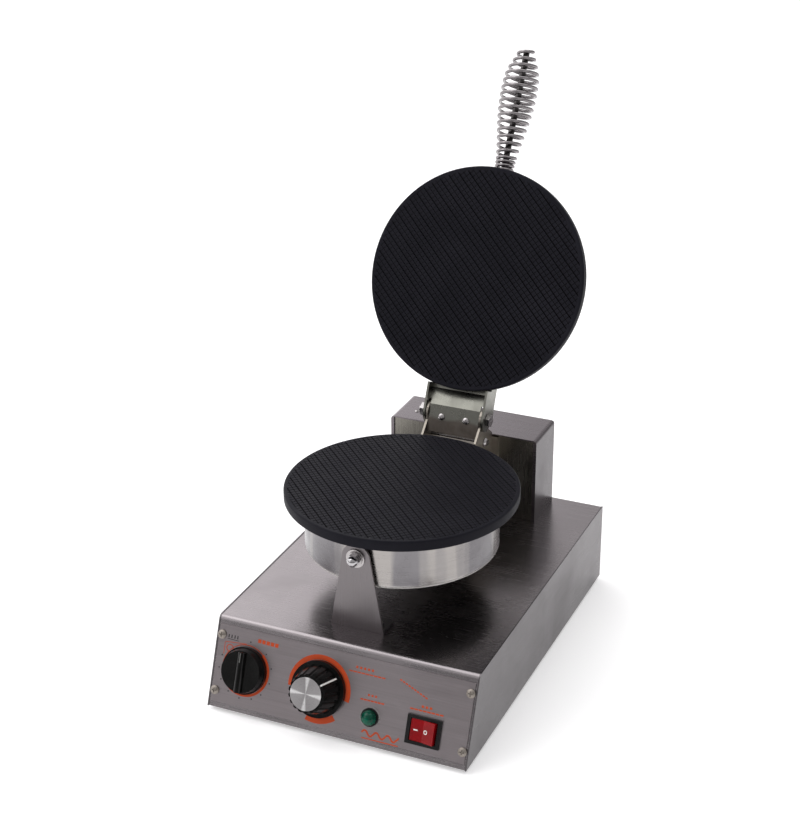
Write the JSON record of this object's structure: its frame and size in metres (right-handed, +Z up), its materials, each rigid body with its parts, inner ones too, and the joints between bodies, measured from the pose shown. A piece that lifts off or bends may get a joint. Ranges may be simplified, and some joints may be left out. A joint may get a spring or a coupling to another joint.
{
  "type": "waffle cone maker",
  "caption": "Countertop waffle cone maker: sloped steel casing with dials and a switch, a round heated plate on top, and a hinged heated lid plate with a coiled-wire handle.",
  "frame": {"origin": "on the table, below the middle of the bounding box of the open machine", "axes": "+Z up, -Y to the front with the controls, +X to the right as seen from the front"},
  "size_m": [0.246, 0.4696, 0.5009],
  "materials": {
    "satin_steel": "satin folded stainless sheet",
    "control_steel": "brushed stainless control plate",
    "bright_steel": "bright stainless fasteners and arm",
    "drum_aluminium": "spun aluminium, bright",
    "cast_plate": "seasoned cast plate with a waffle pattern",
    "tongue_steel": "heat-tinted stainless",
    "chrome_wire": "chromed wire and rod",
    "black_plastic": "black phenolic plastic",
    "nylon_black": "black nylon",
    "lens_green": "translucent green lens",
    "rocker_red": "red rocker",
    "foot_rubber": "black rubber",
    "fibre_white": "heat-resisting fibre and ceramic",
    "heater_sheath": "oxidised heater sheath",
    "copper_bulb": "copper bulb",
    "brass_stud": "brass",
    "wire_sleeve": "braided glass-fibre sleeve over wires"
  },
  "bodies": {
    "base": {"casing_shell": "satin_steel", "side_panel_left": "satin_steel", "side_panel_right": "satin_steel", "base_plate": "satin_steel", "sheet_screws": "bright_steel", "rubber_feet": "foot_rubber", "foot_screws": "bright_steel", "control_plate": "control_steel", "control_plate_screws": "bright_steel", "rear_box_shell": "satin_steel", "rear_box_front": "satin_steel", "rear_box_back": "satin_steel", "hinge_bracket": "satin_steel", "hinge_bracket_screws": "bright_steel", "hinge_bracket_tie_bolt": "bright_steel", "hinge_pin": "bright_steel", "hinge_pin_nut": "bright_steel", "hinge_washers": "fibre_white", "lower_plate": "cast_plate", "lower_drum": "drum_aluminium", "lower_heater": "heater_sheath", "lower_insulation": "fibre_white", "lower_drum_bolts": "bright_steel", "lower_lead_sleeve": "fibre_white", "sensor_bulb": "copper_bulb", "front_stand": "satin_steel", "front_stand_screws": "bright_steel", "stand_bolt": "bright_steel", "stand_washers": "bright_steel", "stand_dome_nut": "chrome_wire", "timer_body": "fibre_white", "thermostat_body": "bright_steel", "control_nuts": "bright_steel", "lamp_body": "nylon_black", "lamp_lens": "lens_green", "switch_body": "nylon_black", "terminal_block": "fibre_white", "terminal_screws": "brass_stud", "wire_loom": "wire_sleeve", "cable_gland": "nylon_black", "cable_gland_nut": "nylon_black", "earth_stud": "brass_stud"},
    "lid": {"upper_plate": "cast_plate", "upper_drum": "drum_aluminium", "upper_heater": "heater_sheath", "upper_insulation": "fibre_white", "upper_drum_bolts": "bright_steel", "lid_arm": "bright_steel", "lid_arm_screws": "bright_steel", "lead_clamp": "fibre_white", "saddle_screws": "bright_steel", "handle_rod": "chrome_wire", "handle_collar": "bright_steel", "handle_grip": "chrome_wire"},
    "timer_dial": {"timer_knob": "black_plastic", "timer_shaft": "bright_steel"},
    "thermostat_dial": {"thermostat_knob": "black_plastic", "thermostat_knob_cap": "bright_steel", "thermostat_shaft": "bright_steel"},
    "rocker": {"switch_rocker": "rocker_red"}
  },
  "joints": [
    {"name": "lid_hinge", "type": "hinge", "parent": "base", "child": "lid", "pos_m": [0, 0.0601, 0.1901], "axis": [1, 0, 0], "range_deg": [0, 114]},
    {"name": "timer_turn", "type": "hinge", "parent": "base", "child": "timer_dial", "pos_m": [-0.091, -0.20781, 0.04159], "axis": [0, -0.9317, 0.3633], "range_deg": [-300, 0]},
    {"name": "thermostat_turn", "type": "hinge", "parent": "base", "child": "thermostat_dial", "pos_m": [-0.019, -0.20785, 0.0415], "axis": [0, -0.9317, 0.3633], "range_deg": [-210, 60]},
    {"name": "switch_rock", "type": "hinge", "parent": "base", "child": "rocker", "pos_m": [0.081, -0.20801, 0.02621], "axis": [0, 0.3633, 0.9317], "range_deg": [0, 18]}
  ]
}
